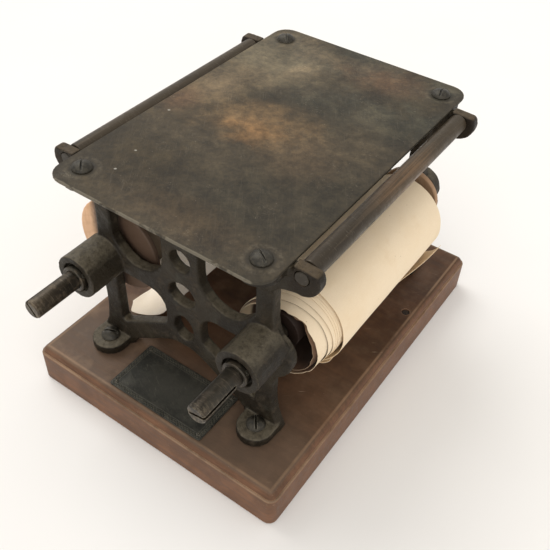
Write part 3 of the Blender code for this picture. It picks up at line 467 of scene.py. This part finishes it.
def wood(name, tone=1.0, base_board=False):
    n = Nodes(name)
    # grain runs along X on the board, and rings follow the cut of the plank
    warp = n.mul(n.sub(n.noise(0.02, 3, 0.5), 0.5), 14.0)
    gy = n.add(n.y, warp)
    gz = n.add(n.z, n.mul(warp, 0.3))
    v = n.combine(n.mul(n.x, 0.03), gy, gz)
    fibre = n.noise(0.30, 6, 0.68, v=v)
    pore = n.noise(1.4, 3, 0.6, v=n.combine(n.mul(n.x, 0.05), gy, gz), off=13)
    ring = n.math("SINE", n.mul(n.add(gy, n.mul(gz, 0.6)), 0.35))
    t = tone
    red, dark = (0.180 * t, 0.088 * t, 0.047 * t), (0.108 * t, 0.052 * t, 0.028 * t)
    base = n.mix(n.ramp(fibre, 0.32, 0.66), dark, red)
    base = n.mix(n.mul(n.ramp(ring, 0.1, 1.0), 0.22), base, n.scaled(base, 0.72))
    base = n.mix(n.mul(n.ramp(pore, 0.60, 0.72), 0.35), base, (0.030 * t, 0.015 * t, 0.009 * t))
    top = n.ramp(n.nz, 0.6, 0.95) if base_board else None
    if base_board:
        soot = n.ramp(n.noise(0.02, 4, 0.6, off=5), 0.3, 0.7, 0.45, 0.85)
        base = n.mix(n.mul(top, soot), base, (0.080, 0.046, 0.0265))
        # painted shade: the top on the right, beside the machine, is painted darker
        base = n.mix(n.mul(n.mul(top, n.ramp(n.x, 40, 92)), n.ramp(n.y, -60, 30)), base, n.scaled(base, (0.62, 0.53, 0.42)))
        # painted shade: the top under the machine is painted darker
        machine_shade = n.blob(-8, 10, 62, 88, 0.0, n.mul(n.sub(n.noise(0.03, 3, 0.5, off=9), 0.5), 0.6), (0.1, 0.9))
        base = n.mix(n.mul(machine_shade, 0.9), base, n.scaled(base, (0.50, 0.46, 0.44)))
        blotch = n.ramp(n.noise(0.05, 4, 0.6, off=141), 0.40, 0.62)
        base = n.mix(blotch, n.scaled(base, 0.86), n.scaled(base, 1.14))
        # painted light: the top near the front edge is painted lighter
        front_light = n.mul(top, n.ramp(n.y, -60, -105, 0.0, 0.45))
        base = n.mix(front_light, base, (0.130, 0.098, 0.072))
        dust = n.mul(n.mul(top, n.ramp(n.noise(0.05, 5, 0.65, off=81), 0.45, 0.72)), n.ramp(n.x, 20, -60, 0.35, 1.0))
        base = n.mix(n.mul(dust, 0.55), base, (0.225, 0.145, 0.092))
        base = n.mix(n.mul(n.ramp(n.nx, 0.5, 0.9), 0.25), base, (0.20, 0.095, 0.05))
    rub = n.ramp(n.noise(0.045, 5, 0.65, off=9), 0.30, 0.62, 0.25, 1.0)
    if base_board:
        # worn varnish and a painted highlight on the two long arrises of the moulding
        ax, ay = n.math("ABSOLUTE", n.x), n.math("ABSOLUTE", n.y)
        low = n.ramp(n.math("ABSOLUTE", n.sub(n.z, 24.9)), 0.15, 1.1, 1.0, 0.0)
        rim = n.math("MAXIMUM", n.sub(ax, 94.9), n.sub(ay, 130.15))
        high = n.mul(n.ramp(n.math("ABSOLUTE", rim), 0.2, 1.3, 1.0, 0.0), n.ramp(n.z, 28.6, 29.6))
        base = n.mix(n.mul(n.mul(low, rub), 0.42), base, (0.44, 0.29, 0.180))
        base = n.mix(n.mul(n.mul(high, rub), 0.45), base, (0.36, 0.23, 0.138))
        # painted shade: the sloped band of the moulding between the arrises is painted darker
        bevel = n.mul(n.ramp(n.z, 25.4, 26.2), n.ramp(n.z, 29.4, 28.4))
        base = n.mix(n.mul(bevel, 0.35), base, n.scaled(base, 0.6))
    edge = n.edge(0.0016, 0.02, 0.2)
    base = n.mix(n.mul(n.mul(edge, rub), 0.5), base, (0.42, 0.27, 0.165))
    run = n.rot(n.mm, math.radians(-35))
    scratch = n.mul(n.ramp(n.noise(0.9, 3, 0.6, v=n.vmul(run, (0.06, 1.0, 1.0)), off=19), 0.66, 0.74), n.ramp(n.noise(0.025, 2, 0.5, off=3), 0.48, 0.6))
    base = n.mix(n.mul(scratch, 0.5), base, (0.40, 0.29, 0.20))
    flecks = n.mul(n.ramp(n.voronoi(0.35, off=27), 0.02, 0.09, 1.0, 0.0), n.ramp(n.noise(0.04, 3, 0.6, off=29), 0.50, 0.60))
    base = n.mix(n.mul(flecks, 0.5), base, (0.36, 0.29, 0.22))
    dents = n.mul(n.ramp(n.voronoi(0.16, off=7), 0.02, 0.09, 1.0, 0.0), n.ramp(n.noise(0.04, 2, 0.5, off=33), 0.5, 0.6))
    base = n.mix(n.mul(dents, 0.6), base, (0.02, 0.012, 0.008))
    rough = n.ramp(fibre, 0.3, 0.7, 0.42, 0.60)
    height = n.add(n.mul(fibre, 0.35), n.mul(n.noise(0.05, 3, 0.5, off=45), 1.0))
    height = n.sub(height, n.add(n.mul(pore, 0.10), n.add(n.mul(scratch, 0.12), n.mul(dents, 0.4))))
    return n.finish(base, rough, n.bump(height, 0.5, 0.0008), 0.0, 0.22, Coat_Weight=0.03, Coat_Roughness=0.35)


def core_wood(name, tone=(1.0, 1.0, 1.0), window_shade=False):
    n = Nodes(name)
    # end grain on the cheeks: rings about the spool's own axis
    warp = n.mul(n.sub(n.noise(0.05, 4, 0.6), 0.5), 10.0)
    r = n.math("SQRT", n.add(n.mul(n.add(n.x, 20.0), n.add(n.x, 20.0)), n.mul(n.z, n.z)))
    ring = n.math("SINE", n.mul(n.add(r, warp), 1.1))
    fibre = n.noise(0.35, 5, 0.65, v=n.vmul(n.mm, (1.0, 0.25, 0.12)))
    base = n.mix(n.ramp(fibre, 0.3, 0.7), (0.74, 0.48, 0.29), (0.86, 0.60, 0.40))
    base = n.mix(n.mul(n.ramp(ring, 0.2, 1.0), 0.15), base, (0.55, 0.32, 0.18))
    blot = n.ramp(n.noise(0.06, 4, 0.6, off=3), 0.5, 0.75)
    base = n.mix(n.mul(blot, 0.25), base, (0.45, 0.26, 0.14))
    edge = n.mul(n.edge(0.0009, 0.03, 0.25), n.ramp(n.noise(0.3, 3, 0.6, off=9), 0.35, 0.6))
    base = n.mix(n.mul(edge, 0.5), base, (0.75, 0.55, 0.38))
    if window_shade:
        # painted shade: the part of the cheek towards the machine's middle, seen through the frame's window under the
        # bed plate, is painted dark
        shaded_part = n.ramp(n.add(n.x, n.mul(n.sub(n.noise(0.08, 4, 0.6, off=55), 0.5), 8.0)), -86, -77)
        base = n.mix(n.mul(shaded_part, 0.96), base, (0.070, 0.045, 0.031))
    base = n.scaled(base, tone)
    height = n.add(n.mul(fibre, 0.5), n.mul(ring, 0.1))
    return n.finish(base, 0.62, n.bump(height, 0.5, 0.0006), 0.0, 0.4)


def paper(name, color=(0.88, 0.73, 0.53), coil=False):
    n = Nodes(name)
    big = n.noise(0.015, 4, 0.55, off=3)
    mid = n.noise(0.07, 4, 0.6, off=9)
    fibre = n.noise(1.5, 5, 0.75, off=5)
    long_ = n.noise(0.8, 4, 0.6, v=n.vmul(n.mm, (1.0, 0.18, 1.0)), off=15)
    c = color
    base = n.mix(n.ramp(big, 0.35, 0.68), c, (c[0] * 0.95, c[1] * 0.91, c[2] * 0.84))
    base = n.mix(n.mul(n.ramp(mid, 0.55, 0.78), 0.35), base, (c[0] * 0.86, c[1] * 0.78, c[2] * 0.66))
    base = n.mix(n.ramp(fibre, 0.4, 0.65, 0.0, 0.12), base, (0.60, 0.46, 0.30))
    base = n.mix(n.ramp(long_, 0.55, 0.75, 0.0, 0.15), base, (0.95, 0.86, 0.70))
    fleck = n.mul(n.ramp(n.voronoi(0.13, off=31), 0.015, 0.06, 1.0, 0.0), n.ramp(n.noise(0.05, 2, 0.5, off=21), 0.46, 0.54))
    base = n.mix(n.mul(fleck, 0.65), base, (0.30, 0.19, 0.10))
    pin = n.ramp(n.voronoi(0.5, off=11), 0.0, 0.05, 1.0, 0.0)
    base = n.mix(n.mul(pin, 0.4), base, (0.38, 0.27, 0.16))
    if coil:
        # painted shade: faces that look in towards the axis are painted browner, and inside the hollow they are painted
        # darker, most towards the back. The innermost turn is brown wrapping paper.
        cx, cz = n.sub(n.x, 62.4), n.sub(n.z, 96.6)
        rr = n.math("SQRT", n.add(n.mul(cx, cx), n.mul(cz, cz)))
        face = n.math("DIVIDE", n.add(n.mul(cx, n.nx), n.mul(cz, n.nz)), n.math("MAXIMUM", rr, 0.1))
        inward_shade = n.ramp(face, 0.1, -0.25)
        base = n.mix(n.mul(inward_shade, 0.55), base, (0.62, 0.47, 0.29))
        # painted shade deeper in the coil's hollow
        hollow_shade = n.mul(inward_shade, n.ramp(n.add(rr, n.mul(n.sub(mid, 0.5), 1.2)), 28.3, 27.2))
        hollow_shade = n.mul(hollow_shade, n.ramp(n.y, -79.5, -75.5, 0.55, 1.0))
        wrap = n.t.nodes.new("ShaderNodeAttribute")
        wrap.attribute_name = "wrap"
        side = n.mul(n.ramp(face, -0.25, 0.1), n.ramp(wrap.outputs["Fac"], 0.4, 0.6))
        rimline = n.ramp(n.add(n.y, n.mul(n.sub(mid, 0.5), 1.6)), -79.1, -79.6)
        base = n.mix(n.mul(n.mul(side, 0.97), n.sub(1.0, n.mul(rimline, 0.6))), base, (0.17, 0.092, 0.052))
        base = n.mix(hollow_shade, base, n.mix(n.ramp(n.y, -78, -66), (0.22, 0.115, 0.062), (0.050, 0.028, 0.018)))
    if name == "paper_aged":
        # painted shade: the front end of the left roll, under the bed plate, is painted dark
        front_end_shade = n.mul(n.ramp(n.y, -60, -72), n.ramp(n.x, -10, -20))
        base = n.mix(n.mul(front_end_shade, 0.85), base, (0.085, 0.060, 0.042))
    geo_edge = n.edge(0.0006, 0.05, 0.4)
    base = n.mix(n.mul(geo_edge, 0.25), base, (0.55, 0.40, 0.24))
    height = n.add(n.mul(mid, 1.0), n.add(n.mul(fibre, 0.05), n.mul(long_, 0.06)))
    n.bsdf.inputs["Sheen Weight"].default_value = 0.05
    return n.finish(base, 0.78, n.bump(height, 0.35, 0.0010), 0.0, 0.25)


def plug_wood():
    n = Nodes("plug_wood")
    d = n.noise(0.8, 4, 0.6)
    base = n.mix(n.ramp(d, 0.35, 0.65), (0.012, 0.008, 0.006), (0.035, 0.022, 0.014))
    return n.finish(base, 0.7, n.bump(d, 0.6, 0.0008), 0.0, 0.3)


M = {
    "bed": bed_iron(), "cast": cast_iron(), "shaft": shaft_steel(), "rod": rod_steel(),
    "screw": screw_steel(), "label": label_metal(), "board": wood("base_wood", 1.0, True),
    "core": core_wood("core_wood"), "cheek": core_wood("cheek_wood", (0.94, 0.86, 0.80), True),
    "brown": core_wood("core_wood_shaded", (0.50, 0.46, 0.42)), "core_shade": core_wood("core_wood_hollow_shade", (0.020, 0.013, 0.011)), "paper": paper("paper_aged"), "coil": paper("paper_coil", coil=True), "white": paper("paper_lit_tail", (0.985, 0.93, 0.84)),
    "plug": plug_wood(),
}


# ---------------------------------------------------------------- CAD nodes: finish and softened edges
def smooth_group():
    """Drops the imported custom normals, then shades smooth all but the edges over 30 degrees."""
    g = bpy.data.node_groups.new("join_and_smooth", "GeometryNodeTree")
    g.interface.new_socket("Geometry", in_out="INPUT", socket_type="NodeSocketGeometry")
    g.interface.new_socket("Geometry", in_out="OUTPUT", socket_type="NodeSocketGeometry")
    a, b = g.nodes.new("NodeGroupInput"), g.nodes.new("NodeGroupOutput")
    angle = g.nodes.new("GeometryNodeInputMeshEdgeAngle")
    over = g.nodes.new("FunctionNodeCompare")
    over.data_type, over.operation = "FLOAT", "LESS_THAN"
    over.inputs[1].default_value = math.radians(31)
    face = g.nodes.new("GeometryNodeSetShadeSmooth")
    face.domain = "FACE"
    edge = g.nodes.new("GeometryNodeSetShadeSmooth")
    edge.domain = "EDGE"
    drop = g.nodes.new("GeometryNodeRemoveAttribute")
    drop.inputs["Name"].default_value = "custom_normal"
    link = g.links.new
    link(a.outputs[0], drop.inputs[0])
    link(drop.outputs[0], face.inputs[0])
    link(face.outputs[0], edge.inputs[0])
    link(angle.outputs["Unsigned Angle"], over.inputs[0])
    link(over.outputs[0], edge.inputs["Shade Smooth"])
    link(edge.outputs[0], b.inputs[0])
    return g


SMOOTH = smooth_group()


def soften(obj, bevel=0.0, segments=2, angle=32.0):
    weld = obj.modifiers.new("weld", "WELD")
    weld.merge_threshold = 2e-6
    flat = obj.modifiers.new("flat", "DECIMATE")
    flat.decimate_type = "DISSOLVE"
    flat.angle_limit = math.radians(0.6)
    if bevel:
        m = obj.modifiers.new("worn_edges", "BEVEL")
        m.width = bevel
        m.segments = segments
        m.limit_method = "ANGLE"
        m.angle_limit = math.radians(angle)
        m.use_clamp_overlap = True
        m.miter_outer = "MITER_ARC"
    s = obj.modifiers.new("shade", "NODES")
    s.node_group = SMOOTH
    w = obj.modifiers.new("even_shade", "WEIGHTED_NORMAL")
    w.keep_sharp = True
    w.weight = 100


def dress(names, material, bevel, segments=2):
    for name in names:
        o = NODES[name]
        o.data.materials.clear()
        o.data.materials.append(material)
        soften(o, bevel, segments)


def starting(*heads):
    return [n for n in sorted(NODES) if n.startswith(heads)]


dress(["base_board"], M["board"], 0.0006)
dress(["base_plug"], M["plug"], 0.0002)
dress(["bed_plate"], M["bed"], 0.0004)
dress(starting("guide_rod"), M["rod"], 0.0004)
dress(starting("winding_shaft"), M["shaft"], 0.0004)
dress(starting("shaft_collar"), M["shaft"], 0.0003)
dress(starting("bed_screw", "foot_screw", "collar_pin", "label_pin"), M["screw"], 0.00025)
dress(["label_plate"], M["label"], 0.0002)
dress(["roller_core_left", "spool_cheek_left_back"], M["core"], 0.0004)
dress(["spool_cheek_left_front"], M["cheek"], 0.0004)
# painted shade: the back right cheek has a darker copy of the cheek wood, for the shade it lies in
dress(["spool_cheek_right_back"], M["brown"], 0.0004)
# painted shade: the right core has a near-black copy of the core wood, for the shade in the coil's hollow
dress(["roller_core_right"], M["core_shade"], 0.0004)
dress(starting("paper_roll", "loose_sheet"), M["paper"], 0.0)


def cast(name):
    """A casting has soft corners and a slightly lumpy skin, so its shape is remeshed and smoothed."""
    o = NODES[name]
    o.data.materials.clear()
    o.data.materials.append(M["cast"])
    weld = o.modifiers.new("weld", "WELD")
    weld.merge_threshold = 2e-6
    remesh = o.modifiers.new("skin", "REMESH")
    remesh.mode = "VOXEL"
    remesh.voxel_size = 0.0008
    remesh.use_smooth_shade = True
    smooth = o.modifiers.new("round", "SMOOTH")
    smooth.factor = 0.5
    smooth.iterations = 3
    for label, size, strength in (("lumps", 0.011, 0.00045), ("grain", 0.0024, 0.00028)):
        tex = bpy.data.textures.get("cast_" + label) or bpy.data.textures.new("cast_" + label, "CLOUDS")
        tex.noise_scale = size
        tex.noise_depth = 2
        push = o.modifiers.new(label, "DISPLACE")
        push.texture = tex
        push.texture_coords = "LOCAL"
        push.strength = strength
        push.mid_level = 0.5


cast("front_frame")
cast("back_frame")


# ---------------------------------------------------------------- label border
def label_border():
    """A row of small slanted notches round the blank label, raised from its face."""
    lo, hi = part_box("label_plate")
    x0, y0, x1, y1, z = lo.x + 0.0021, lo.y + 0.0021, hi.x - 0.0021, hi.y - 0.0021, hi.z
    verts, faces = [], []

    def bar(cx, cy, along_x):
        a = math.radians(52 if along_x else 38)
        c, s_ = math.cos(a), math.sin(a)
        hl, hw = 0.00125, 0.00036
        k = len(verts)
        for dz, grow in ((-0.0001, 1.0), (0.00032, 0.62)):
            for u, w in ((-hl, -hw), (hl, -hw), (hl, hw), (-hl, hw)):
                u, w = u * (0.9 + 0.1 * grow), w * grow
                verts.append((cx + u * c - w * s_, cy + u * s_ + w * c, z + dz))
        faces.extend([(k + 4, k + 5, k + 6, k + 7), (k + 3, k + 2, k + 1, k)])
        faces.extend([(k + i, k + (i + 1) % 4, k + 4 + (i + 1) % 4, k + 4 + i) for i in range(4)])

    nx, ny = int((x1 - x0) / 0.00165), int((y1 - y0) / 0.00165)
    for i in range(nx + 1):
        x = x0 + (x1 - x0) * i / nx
        bar(x, y0, True)
        bar(x, y1, True)
    for i in range(1, ny):
        y = y0 + (y1 - y0) * i / ny
        bar(x0, y, False)
        bar(x1, y, False)
    mesh = bpy.data.meshes.new("label_border")
    mesh.from_pydata(verts, [], faces)
    mesh.materials.append(M["label"])
    obj = bpy.data.objects.new("label_border", mesh)
    bpy.context.scene.collection.objects.link(obj)
    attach(obj, "stand")
    return obj


label_border()


# ---------------------------------------------------------------- paper
def shell(name, grid, thickness, material, closed_ends=True):
    """A thin closed sheet from a grid of points in millimetres, thick by the same amount all over."""
    g = np.asarray(grid, float)
    du = np.gradient(g, axis=0)
    dv = np.gradient(g, axis=1)
    nrm = np.cross(du, dv)
    nrm /= np.maximum(np.linalg.norm(nrm, axis=2, keepdims=True), 1e-9)
    a, b = g + nrm * thickness / 2, g - nrm * thickness / 2
    nu, nv = g.shape[:2]
    verts = np.concatenate([a.reshape(-1, 3), b.reshape(-1, 3)]) * MM
    off = nu * nv
    faces = []
    for i in range(nu - 1):
        for j in range(nv - 1):
            p, q, r, t = i * nv + j, (i + 1) * nv + j, (i + 1) * nv + j + 1, i * nv + j + 1
            faces.append((p, q, r, t))
            faces.append((off + p, off + t, off + r, off + q))
    rim = [i * nv for i in range(nu)] + [(nu - 1) * nv + j for j in range(1, nv)]
    rim += [i * nv + nv - 1 for i in range(nu - 2, -1, -1)] + [j for j in range(nv - 2, 0, -1)]
    for k, p in enumerate(rim):
        q = rim[(k + 1) % len(rim)]
        faces.append((q, p, off + p, off + q))
    mesh = bpy.data.meshes.new(name)
    mesh.from_pydata([tuple(v) for v in verts], [], faces)
    bm = bmesh.new()
    bm.from_mesh(mesh)
    bmesh.ops.recalc_face_normals(bm, faces=bm.faces)
    bm.to_mesh(mesh)
    bm.free()
    mesh.shade_smooth()
    mesh.set_sharp_from_angle(angle=math.radians(50))
    mesh.materials.append(material)
    obj = bpy.data.objects.new(name, mesh)
    bpy.context.scene.collection.objects.link(obj)
    return obj


def wob(a, b, c=0.0):
    """Smooth repeatable unevenness from -1 to 1."""
    return noise.noise(Vector((a, b, c))) * 1.6


def smooth01(t):
    t = max(0.0, min(1.0, t))
    return t * t * (3 - 2 * t)


COIL = (62.6, 97.0)


def coil_outer_turn():
    """The loose outer turn. Its free end comes up from below and stands off the coil at the lower right, at the back."""
    nv = 44
    rows = []
    steps = 190
    for i in range(steps + 1):
        u = i / steps
        row = []
        for j in range(nv + 1):
            v = j / nv
            first = -44 + 24 * smooth01((v - 0.58) / 0.42) + 1.0 * wob(v * 5.0, 7.0)
            turned = 405 * u
            th = first - turned
            y = -57.5 - 0.25 * wob(th * 0.03, 2.0) - 1.1 * smooth01((turned - 320) / 50)
            y = y + (72.0 - y) * v
            # the end sags away from the coil below, and the far corner curls out
            r = 31.25 - 0.62 * smooth01(turned / 380)
            sag = smooth01((85 - turned) / 60) * smooth01((turned + 12) / 25)
            r += (2.0 * sag * (1 - 0.6 * smooth01(v * 2 - 0.5)) + 0.5) * smooth01((125 - turned) / 90)
            r += 4.2 * smooth01((42 - turned) / 46) * smooth01((y - 16) / 54)
            r += 0.16 * wob(math.cos(math.radians(th)) * 3, y * 0.03, math.sin(math.radians(th)) * 3) * smooth01((turned - 30) / 60)
            a = math.radians(th)
            row.append((COIL[0] + r * math.cos(a), y, COIL[1] + r * math.sin(a)))
        rows.append(row)
    return rows


def coil_inner_turns():
    """The tight inner turns, pushed forward, so that each turn's front edge shows as a step."""
    knots = [  # turn, radius, front edge
        (0.0, 29.35, -58.9), (1.0, 28.9, -60.4), (2.0, 28.55, -61.9), (2.9, 28.25, -63.4),
        (3.3, 27.9, -67.6), (4.1, 27.4, -68.6), (4.5, 26.9, -78.0), (5.4, 26.2, -77.6),
        (6.2, 25.55, -76.2),
    ]
    t, rad, fy = (np.array(c) for c in zip(*knots))
    nv, steps = 30, 560
    rows = []
    for i in range(steps + 1):
        s = 6.2 * i / steps
        th = 8 + 360 * s
        r0 = float(np.interp(s, t, rad))
        front = float(np.interp(s, t, fy))
        if s > 4.3:
            ragged = smooth01((s - 4.4) / 0.5)
            front += ragged * (0.55 * wob(th * 0.09, s) + 0.35 * wob(th * 0.35, s, 5.0))
            # a torn bite in the rim, high on the right
            bite = math.exp(-(((th % 360) - 58) / 9.0) ** 2)
            front += ragged * 2.2 * bite
        # on its left side the rim leans out of the coil, towards the casting
        lean = smooth01((0.25 - math.cos(math.radians(th - 12))) / 1.1)
        front = max(front, -78.35) - (4.4 * lean * smooth01((s - 4.2) / 0.4))
        # the innermost turn is brown wrapping, and it comes out further on the right
        hug = smooth01(1.0 - abs((th - 8 + 180) % 360 - 180) / 105.0)
        wrap = smooth01((s - 5.25) / 0.2)
        front -= 1.6 * wrap * hug
        row = []
        for j in range(nv + 1):
            v = (j / nv) ** 1.7
            y = front + (66.0 + (front + 58) * 0.4 - front) * v
            k = smooth01((-57 - y) / 21)
            cx, cz = COIL[0] - 0.6 * k, COIL[1] - 1.5 * k
            r = r0 + 0.10 * wob(th * 0.03, y * 0.04, 3.0)
            r += 3.0 * lean * smooth01((-63 - y) / 14) * smooth01((s - 3.2) / 1.0)
            r -= 1.7 * smooth01(1.0 - abs((th + 55 + 180) % 360 - 180) / 75.0)
            r -= 1.9 * wrap * hug * smooth01((-71 - y) / 9)
            if s > 5.2:
                # the last turns curl a little where they come out
                r -= 1.3 * k * smooth01((s - 5.3) / 0.8) * (0.6 + 0.5 * wob(th * 0.05, 8.0))
            a = math.radians(th)
            row.append((cx + r * math.cos(a), y, cz + r * math.sin(a)))
        rows.append(row)
    return rows


outer = shell("coil_outer_turn", coil_outer_turn(), 0.30, M["coil"])
inner = shell("coil_inner_turns", coil_inner_turns(), 0.26, M["coil"])
mark = inner.data.attributes.new("wrap", "FLOAT", "POINT")
half = len(inner.data.vertices) // 2
for i in range(len(inner.data.vertices)):
    mark.data[i].value = smooth01((6.2 * ((i % half) // 31) / 560 - 5.25) / 0.06)
for piece in (outer, inner):
    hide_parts("paper_roll_right")
    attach(piece, "loose_coil")


TAIL = [(-32.2, 107.5), (-31.4, 97.0), (-30.0, 86.0), (-28.6, 76.5), (-28.6, 68.2),
        (-31.0, 61.4), (-35.5, 55.7), (-41.0, 50.9), (-47.5, 46.5), (-54.5, 42.4),
        (-61.2, 39.1), (-67.2, 36.9), (-72.6, 35.8)]


def along(points, t):
    """A point on a smooth line through the points, t from 0 to 1."""
    f = t * (len(points) - 1)
    i = min(int(f), len(points) - 2)
    f -= i
    p = [Vector((*points[max(0, min(len(points) - 1, i + k))], 0)) for k in (-1, 0, 1, 2)]
    return 0.5 * (2 * p[1] + (p[2] - p[0]) * f + (2 * p[0] - 5 * p[1] + 4 * p[2] - p[3]) * f * f
                  + (3 * p[1] - p[0] - 3 * p[2] + p[3]) * f ** 3)


def tail_sheet():
    rows = []
    steps, nv = 70, 64
    for i in range(steps + 1):
        t = i / steps
        row = []
        for j in range(nv + 1):
            v = j / nv
            # the free end has rounded, slightly torn corners
            trim = 9.0 * smooth01((t - 0.86) / 0.14) ** 2
            front, back = -77.8 + trim, 76.2 - trim
            y = front + (back - front) * v
            tt = t * (1.0 - 0.012 * (1 + wob(y * 0.09, 4.0)) * smooth01((t - 0.6) / 0.4))
            p = along(TAIL, tt)
            lift = smooth01((t - 0.1) / 0.3) * (0.7 * wob(t * 3.1, y * 0.018, 1.0) + 0.25 * wob(t * 7.0, y * 0.05, 6.0))
            curl = 2.2 * smooth01((abs(v - 0.5) - 0.36) / 0.14) * smooth01((t - 0.75) / 0.25)
            row.append((p.x + 0.4 * lift, y, p.y + lift + curl))
        rows.append(row)
    return rows


# painted light: the tail has a whiter copy of the paper, for the light that falls on it
tail = shell("web_tail", tail_sheet(), 0.30, M["white"])
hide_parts("loose_sheet")
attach(tail, "stand")


# ---------------------------------------------------------------- floor and light
def studio():
    mesh = bpy.data.meshes.new("floor")
    s = 6.0
    mesh.from_pydata([(-s, -s, 0), (s, -s, 0), (s, s, 0), (-s, s, 0)], [], [(0, 1, 2, 3)])
    floor = bpy.data.objects.new("floor", mesh)
    floor.location.z = -0.0002
    bpy.context.scene.collection.objects.link(floor)
    n = Nodes("floor_white")
    cloth = n.noise(0.004, 3, 0.5)
    col = n.mix(n.ramp(cloth, 0.3, 0.7), (0.88, 0.865, 0.845), (0.90, 0.885, 0.865))
    mesh.materials.append(n.finish(col, 0.9, None, 0.0, 0.1))
    world = bpy.data.worlds.new("studio")
    bpy.context.scene.world = world
    world.use_nodes = True
    bg = world.node_tree.nodes["Background"]
    bg.inputs[0].default_value = (1.0, 0.975, 0.94, 1)
    bg.inputs[1].default_value = 0.78

    def soft_sun(name, source, strength, angle, color):
        d = bpy.data.lights.new(name, "SUN")
        d.energy = strength
        d.angle = math.radians(angle)
        d.color = color
        o = bpy.data.objects.new(name, d)
        bpy.context.scene.collection.objects.link(o)
        o.location = source
        o.rotation_mode = "QUATERNION"
        o.rotation_quaternion = (-Vector(source)).to_track_quat("-Z", "Y")

    soft_sun("key", (-1.3, 0.35, 1.7), 1.10, 38, (1.0, 0.985, 0.96))
    soft_sun("fill", (0.9, -1.5, 1.25), 0.90, 75, (1.0, 0.975, 0.94))


studio()
scene = bpy.context.scene
scene.view_settings.view_transform = "Standard"
